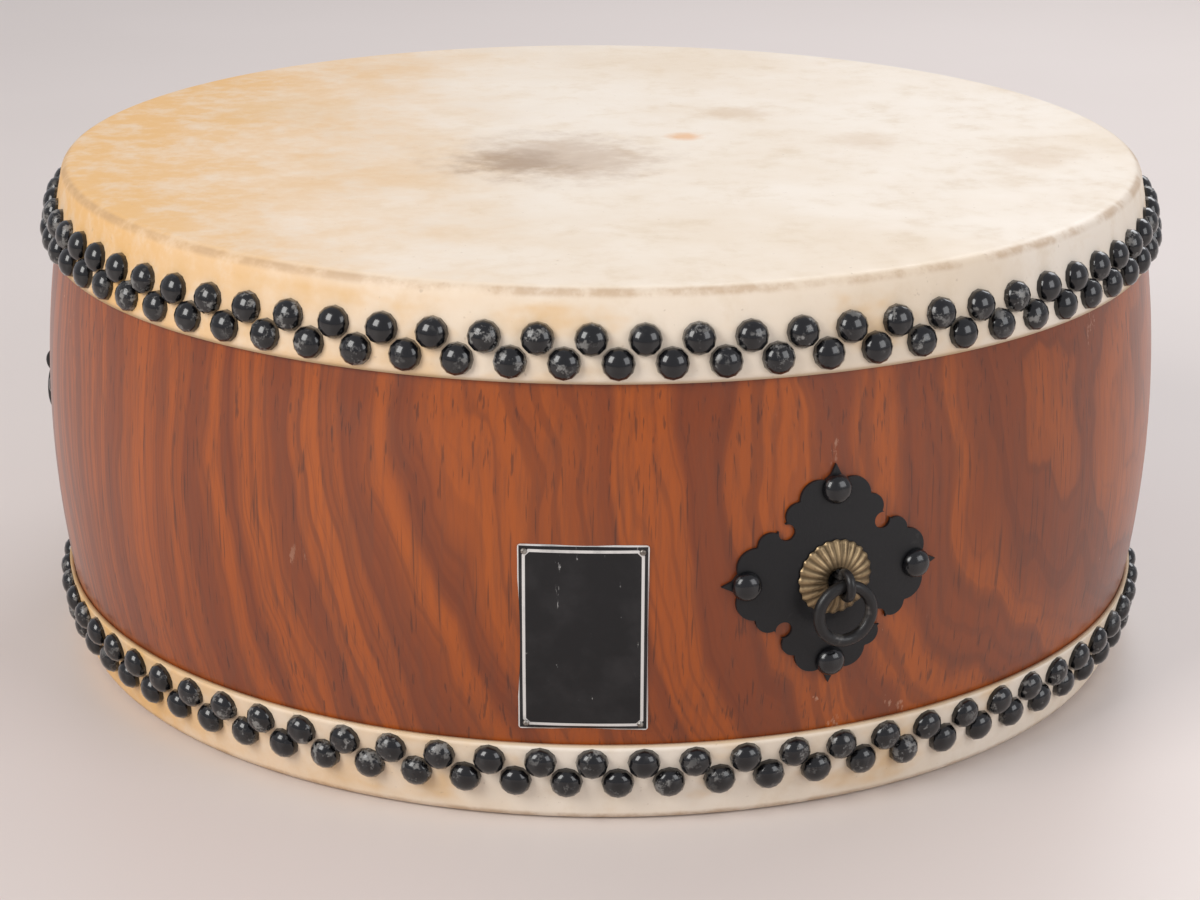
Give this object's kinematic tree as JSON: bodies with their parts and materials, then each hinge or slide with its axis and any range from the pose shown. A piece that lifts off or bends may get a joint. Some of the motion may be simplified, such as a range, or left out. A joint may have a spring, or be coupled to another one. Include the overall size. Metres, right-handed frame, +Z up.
{
  "type": "barrel drum",
  "caption": "Low, wide hollowed wooden barrel drum with a tacked hide head at each end and swinging iron ring fittings round its belly.",
  "frame": {"origin": "centre of the bottom head's outer face, on the surface that the drum stands on", "axes": "+Z up along the drum's axis, -Y towards the front ring fitting, +X to the right when facing that fitting"},
  "size_m": [0.6326, 0.6553, 0.276],
  "materials": {
    "wood": "clear lacquered zelkova, orange brown with dark grain",
    "hide": "dry cow hide, matt cream",
    "iron": "black satin iron",
    "tack": "glossy black round-headed tacks",
    "brass": "dull old brass",
    "enamel": "black paint with a bare silver border",
    "steel": "dull steel"
  },
  "bodies": {
    "drum": {"body": "wood", "top_head": "hide", "bottom_head": "hide", "front_ring_plate": "iron", "front_plate_nail_top": "iron", "front_plate_nail_bottom": "iron", "front_plate_nail_left": "iron", "front_plate_nail_right": "iron", "front_washer": "brass", "front_eye_pin": "iron", "right_ring_plate": "iron", "right_plate_nail_top": "iron", "right_plate_nail_bottom": "iron", "right_plate_nail_left": "iron", "right_plate_nail_right": "iron", "right_washer": "brass", "right_eye_pin": "iron", "left_ring_plate": "iron", "left_plate_nail_top": "iron", "left_plate_nail_bottom": "iron", "left_plate_nail_left": "iron", "left_plate_nail_right": "iron", "left_washer": "brass", "left_eye_pin": "iron", "name_plate": "enamel", "name_plate_pin_top_left": "steel", "name_plate_pin_top_right": "steel", "name_plate_pin_bottom_left": "steel", "name_plate_pin_bottom_right": "steel"},
    "front_ring": {"front_ring": "iron"},
    "right_ring": {"right_ring": "iron"},
    "left_ring": {"left_ring": "iron"}
  },
  "joints": [
    {"name": "front_ring_swing", "type": "hinge", "parent": "drum", "child": "front_ring", "pos_m": [0, -0.33104, 0.12905], "axis": [-1, 0, 0], "range_deg": [-18, 198]},
    {"name": "right_ring_swing", "type": "hinge", "parent": "drum", "child": "right_ring", "pos_m": [0.28669, 0.16552, 0.12905], "axis": [0.5, -0.866, 0], "range_deg": [-18, 198]},
    {"name": "left_ring_swing", "type": "hinge", "parent": "drum", "child": "left_ring", "pos_m": [-0.28669, 0.16552, 0.12905], "axis": [0.5, 0.866, 0], "range_deg": [-18, 198]}
  ]
}
